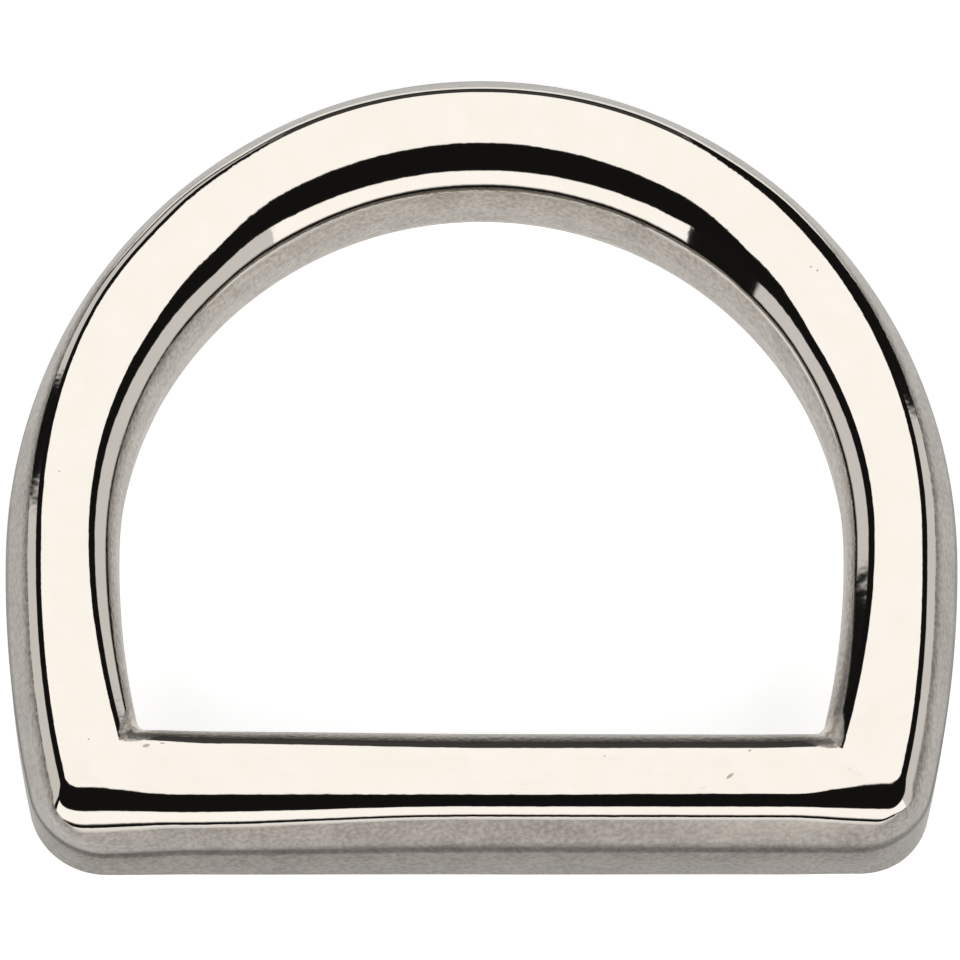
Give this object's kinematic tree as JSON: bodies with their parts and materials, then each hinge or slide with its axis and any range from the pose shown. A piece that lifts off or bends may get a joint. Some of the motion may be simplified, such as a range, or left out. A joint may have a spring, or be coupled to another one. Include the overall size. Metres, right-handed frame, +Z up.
{
  "type": "d ring",
  "caption": "Cast metal D ring with a flat polished face, a straight bar for a strap and an arch for a hook or another strap.",
  "frame": {"origin": "middle of the ring's outline, on the surface that its flat back rests on", "axes": "+X along the straight bar, +Y from the bar towards the crown of the arch, +Z up from the flat back to the polished face"},
  "size_m": [0.0358, 0.0324, 0.0045],
  "materials": {
    "nickel": "nickel plate over cast brass, polished on the face and satin on the walls"
  },
  "bodies": {
    "root": {"d_ring": "nickel"}
  },
  "joints": []
}
